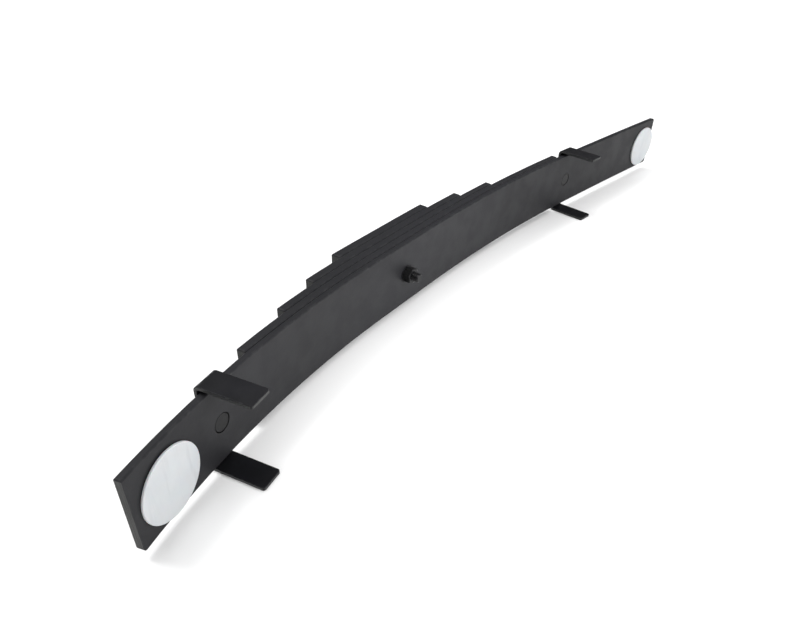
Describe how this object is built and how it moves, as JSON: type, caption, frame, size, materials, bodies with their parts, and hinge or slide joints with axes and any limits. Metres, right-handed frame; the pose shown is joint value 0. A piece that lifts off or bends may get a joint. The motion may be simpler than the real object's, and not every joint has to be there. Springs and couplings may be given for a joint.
{
  "type": "leaf spring",
  "caption": "Cambered pack of graduated steel leaves on a centre bolt, lying on its side, with open U-shaped rebound clips and round slide pads on the longest leaf.",
  "frame": {"origin": "middle of the end face of the centre bolt's head, on the axle side of the pack", "axes": "+X along the pack towards its long rear end, +Y from the longest leaf to the shortest (out of the axle seat), +Z across the width of the leaves; the pack lies on its side"},
  "size_m": [0.9267, 0.1166, 0.0848],
  "materials": {
    "leaf_paint": "satin charcoal paint over spring steel",
    "clip_paint": "satin black paint on mild steel strip",
    "fastener": "satin, painted over with the pack",
    "pad_nylon": "smooth satin off-white nylon"
  },
  "bodies": {
    "pack": {"main_leaf": "leaf_paint", "second_leaf": "leaf_paint", "third_leaf": "leaf_paint", "fourth_leaf": "leaf_paint", "fifth_leaf": "leaf_paint", "center_bolt": "fastener", "center_bolt_nut": "fastener", "front_clip_rivet": "fastener", "rear_clip_rivet": "fastener", "front_slide_pad": "pad_nylon", "rear_slide_pad": "pad_nylon"},
    "front_clip": {"front_rebound_clip": "clip_paint"},
    "rear_clip": {"rear_rebound_clip": "clip_paint"}
  },
  "joints": [
    {"name": "front_clip_turn", "type": "hinge", "parent": "pack", "child": "front_clip", "pos_m": [-0.25968, -0.07457, 0], "axis": [-0.1996, 0.9799, 0], "range_deg": [-8, 8]},
    {"name": "rear_clip_turn", "type": "hinge", "parent": "pack", "child": "rear_clip", "pos_m": [0.33697, -0.07532, 0], "axis": [0.1409, 0.99, 0], "range_deg": [-8, 8]}
  ]
}
